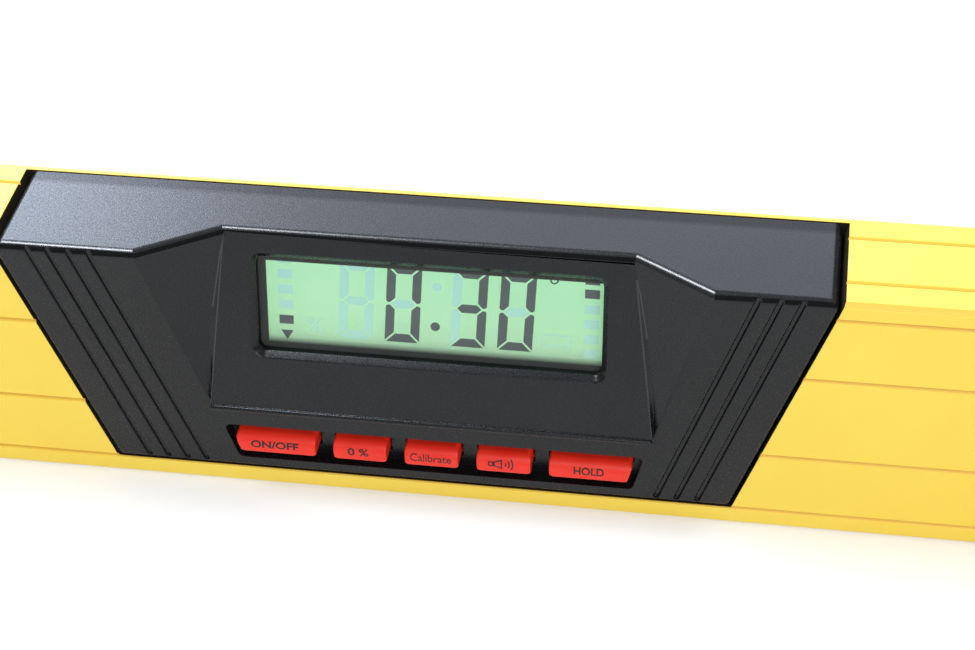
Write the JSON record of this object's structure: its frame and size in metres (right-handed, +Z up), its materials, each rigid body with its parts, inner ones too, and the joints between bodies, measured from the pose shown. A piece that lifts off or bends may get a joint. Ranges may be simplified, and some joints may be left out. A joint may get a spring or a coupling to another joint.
{
  "type": "digital spirit level",
  "caption": "Long box-section spirit level with a display module let into its front and top: sloped reading window, press keys, tubular vials and a rear battery door.",
  "frame": {"origin": "centre of the flat measuring base, straight under the middle of the display", "axes": "+X along the level to the right as the display is read, -Y out of the face with the display, +Z up"},
  "size_m": [0.6, 0.0279, 0.06],
  "materials": {
    "rail": "satin yellow powder coat on an aluminium extrusion",
    "cap": "matt black moulding",
    "case": "fine spark-eroded black plastic",
    "window": "clear acrylic",
    "lcd": "grey-green liquid crystal cell",
    "light_guide": "milky acrylic",
    "contact_rubber": "striped silicone",
    "inner_plastic": "moulded black plastic",
    "board": "green solder mask",
    "chip": "black moulded package",
    "sensor": "metal can",
    "can": "bare metal cans",
    "lead": "insulated wire",
    "ribbon": "amber film",
    "contact": "nickel plated",
    "cell": "printed sleeve on a steel can",
    "screw": "zinc plated",
    "key": "red moulded plastic",
    "plunger": "black moulded plastic",
    "holder": "matt black moulding",
    "vial": "clear acrylic",
    "liquid": "yellow-green liquid",
    "ring": "black",
    "plug": "pale plastic"
  },
  "bodies": {
    "level_body": {"backlight_panel": "light_guide", "batteries": "cell", "battery_contacts": "contact", "battery_leads": "lead", "board_parts": "can", "board_screws": "screw", "buzzer": "chip", "buzzer_leads": "lead", "case_screws": "screw", "display_window": "window", "end_cap_left": "cap", "end_cap_right": "cap", "flex_ribbon": "ribbon", "front_housing": "case", "key_board": "board", "key_board_screws": "screw", "lcd_frame": "inner_plastic", "lcd_glass": "lcd", "level_rail": "rail", "level_vial_holder": "holder", "level_vial_liquid": "liquid", "level_vial_plugs": "plug", "level_vial_rings": "ring", "level_vial_tube": "vial", "main_board": "board", "microcontroller": "chip", "module_screws": "screw", "plumb_vial_holder": "holder", "plumb_vial_liquid": "liquid", "plumb_vial_plugs": "plug", "plumb_vial_rings": "ring", "plumb_vial_tube": "vial", "rear_cover": "case", "switch_bodies": "chip", "tilt_sensor": "sensor", "zebra_strip": "contact_rubber"},
    "key_on_off": {"button_on_off": "key", "plunger_on_off": "plunger"},
    "key_zero": {"button_zero": "key", "plunger_zero": "plunger"},
    "key_calibrate": {"button_calibrate": "key", "plunger_calibrate": "plunger"},
    "key_sound": {"button_sound": "key", "plunger_sound": "plunger"},
    "key_hold": {"button_hold": "key", "plunger_hold": "plunger"},
    "door": {"battery_door": "case"}
  },
  "joints": [
    {"name": "press_on_off", "type": "slide", "parent": "level_body", "child": "key_on_off", "axis": [0, 1, 0], "range_m": [0, 0.0008], "stiffness_N_per_m": 3000},
    {"name": "press_zero", "type": "slide", "parent": "level_body", "child": "key_zero", "axis": [0, 1, 0], "range_m": [0, 0.0008], "stiffness_N_per_m": 3000},
    {"name": "press_calibrate", "type": "slide", "parent": "level_body", "child": "key_calibrate", "axis": [0, 1, 0], "range_m": [0, 0.0008], "stiffness_N_per_m": 3000},
    {"name": "press_sound", "type": "slide", "parent": "level_body", "child": "key_sound", "axis": [0, 1, 0], "range_m": [0, 0.0008], "stiffness_N_per_m": 3000},
    {"name": "press_hold", "type": "slide", "parent": "level_body", "child": "key_hold", "axis": [0, 1, 0], "range_m": [0, 0.0008], "stiffness_N_per_m": 3000},
    {"name": "battery_door_hinge", "type": "hinge", "parent": "level_body", "child": "door", "pos_m": [-0.02875, 0.013, 0.0192], "axis": [0, 0, 1], "range_deg": [0, 75]}
  ]
}
